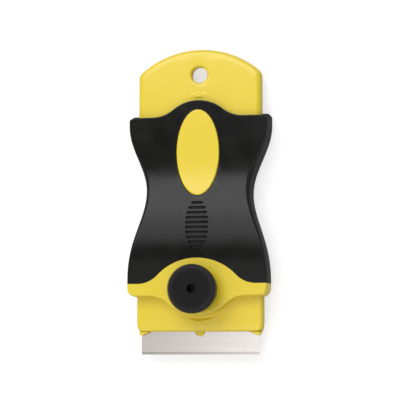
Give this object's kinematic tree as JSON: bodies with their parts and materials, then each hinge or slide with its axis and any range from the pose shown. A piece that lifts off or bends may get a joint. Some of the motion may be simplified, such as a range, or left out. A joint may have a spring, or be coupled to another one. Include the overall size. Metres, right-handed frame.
{
  "type": "razor blade scraper",
  "caption": "Flat hand scraper with a waisted soft-grip sleeve, a hang hole and a thumb knob that clamps a wide notched razor blade between two jaws.",
  "frame": {"origin": "middle of the footprint, on the face of the back grip that the scraper rests on", "axes": "+Y from the blade to the tail, +Z out of the front along the knob, +X across"},
  "size_m": [0.0464, 0.0996, 0.02],
  "materials": {
    "yellow_abs": "satin moulded ABS",
    "black_rubber": "satin thermoplastic rubber",
    "black_nylon": "matte moulded nylon",
    "blade_steel": "rolled and ground",
    "zinc_steel": "zinc plated",
    "brass": "turned"
  },
  "bodies": {
    "handle": {"base_plate": "yellow_abs", "back_shell": "yellow_abs", "back_grip": "black_rubber", "back_screws": "zinc_steel", "clamp_bolt": "zinc_steel"},
    "clamp_half": {"front_shell": "yellow_abs", "front_grip": "black_rubber", "jaw_plate": "yellow_abs", "knob_washer": "zinc_steel"},
    "knob": {"knob": "black_nylon", "knob_insert": "brass"},
    "blade": {"blade": "blade_steel"}
  },
  "joints": [
    {"name": "clamp_lift", "type": "slide", "parent": "handle", "child": "clamp_half", "axis": [0, 0, 1], "range_m": [0, 0.0014]},
    {"name": "knob_turn", "type": "hinge", "parent": "clamp_half", "child": "knob", "pos_m": [0, -0.02905, 0.0128], "axis": [0, 0, 1], "range_deg": [0, 720]},
    {"name": "blade_draw", "type": "slide", "parent": "handle", "child": "blade", "axis": [0, -1, 0], "range_m": [0, 0.012]}
  ],
  "couplings": [
    {"joint": "knob_turn", "follows": "clamp_lift", "rad_per_m": 8975.9}
  ]
}
